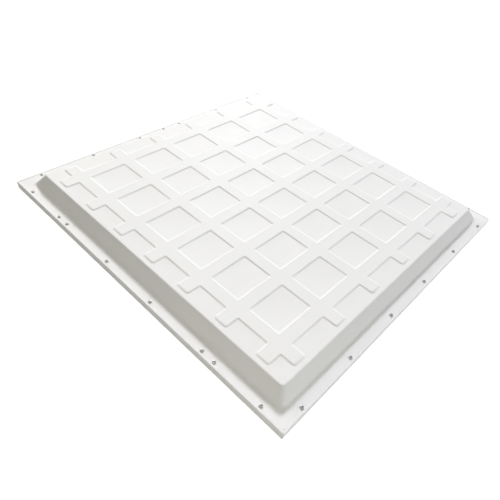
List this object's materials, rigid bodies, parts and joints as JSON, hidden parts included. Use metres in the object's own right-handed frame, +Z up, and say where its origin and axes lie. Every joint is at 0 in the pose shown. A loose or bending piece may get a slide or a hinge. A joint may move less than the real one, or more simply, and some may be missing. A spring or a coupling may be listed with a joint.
{
  "type": "recessed troffer light",
  "caption": "Square lay-in LED ceiling panel: mitred frame, opal diffuser below and a pressed sheet-metal back with a lattice of raised ribs, held by cross-recess screws.",
  "frame": {"origin": "middle of the frame's underside, the face that rests on the ceiling grid", "axes": "+Z up through the steel back, away from the room; -Y is the front side, the one with close pairs of screws nearest the picture's camera; +X is the right side"},
  "size_m": [0.595, 0.595, 0.032],
  "materials": {
    "frame": "white powder coat, satin",
    "key": "zinc plated",
    "diffuser": "opal, matt",
    "plate": "white powder coat, satin",
    "film": "white reflective film",
    "grommet": "white moulded rubber",
    "tape": "adhesive tape",
    "board": "white solder mask",
    "chip": "phosphor",
    "lens": "clear moulded acrylic",
    "connector": "moulded nylon",
    "wire": "insulated wire",
    "screw": "zinc plated steel"
  },
  "bodies": {
    "root": {"frame_rail_front": "frame", "frame_rail_right": "frame", "frame_rail_back": "frame", "frame_rail_left": "frame", "corner_key_front_right": "key", "corner_key_right_back": "key", "corner_key_back_left": "key", "corner_key_left_front": "key", "diffuser": "diffuser", "back_plate": "plate", "reflector_film": "film", "cable_grommet": "grommet", "thermal_tape_1": "tape", "led_board_1": "board", "led_chips_1": "chip", "led_lenses_1": "lens", "board_connectors_1": "connector", "thermal_tape_2": "tape", "led_board_2": "board", "led_chips_2": "chip", "led_lenses_2": "lens", "board_connectors_2": "connector", "thermal_tape_3": "tape", "led_board_3": "board", "led_chips_3": "chip", "led_lenses_3": "lens", "board_connectors_3": "connector", "thermal_tape_4": "tape", "led_board_4": "board", "led_chips_4": "chip", "led_lenses_4": "lens", "board_connectors_4": "connector", "thermal_tape_5": "tape", "led_board_5": "board", "led_chips_5": "chip", "led_lenses_5": "lens", "board_connectors_5": "connector", "thermal_tape_6": "tape", "led_board_6": "board", "led_chips_6": "chip", "led_lenses_6": "lens", "board_connectors_6": "connector", "jumper_wires_1": "wire", "jumper_wires_2": "wire", "jumper_wires_3": "wire", "jumper_wires_4": "wire", "jumper_wires_5": "wire", "screws_front": "screw", "screws_right": "screw", "screws_back": "screw", "screws_left": "screw"}
  },
  "joints": []
}
